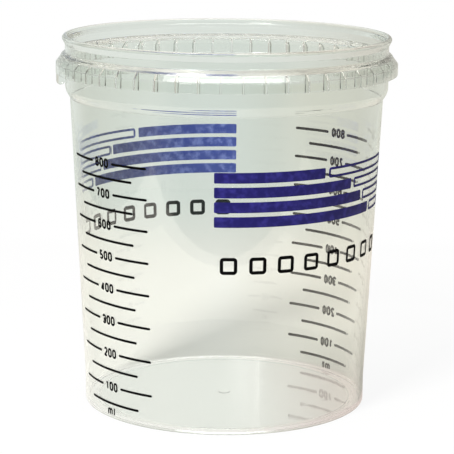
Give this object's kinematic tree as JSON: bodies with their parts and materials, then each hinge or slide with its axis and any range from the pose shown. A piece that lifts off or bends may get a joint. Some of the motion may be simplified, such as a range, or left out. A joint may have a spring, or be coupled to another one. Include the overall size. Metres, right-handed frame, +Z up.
{
  "type": "resin mixing cup",
  "caption": "Clear tapered mixing cup with a ribbed collar under its rim, printed with measuring scales, mixing-ratio bars and tick boxes.",
  "frame": {"origin": "centre of the foot, in the plane that the cup rests on", "axes": "+Z up along the cup's axis, the hanging lug towards -X, and the pictured side towards -Y"},
  "size_m": [0.1226, 0.1226, 0.1338],
  "materials": {
    "clear_plastic": "smooth moulded, see-through with a faint milky haze",
    "black_ink": "thin printed ink, satin",
    "blue_ink": "thin printed ink, satin"
  },
  "bodies": {
    "root": {"cup": "clear_plastic", "scale_marks_front": "black_ink", "scale_marks_back": "black_ink", "scale_numbers_front": "black_ink", "scale_numbers_back": "black_ink", "ratio_chart_front": "blue_ink", "ratio_chart_back": "blue_ink", "tick_boxes_front": "black_ink", "tick_boxes_back": "black_ink"}
  },
  "joints": []
}
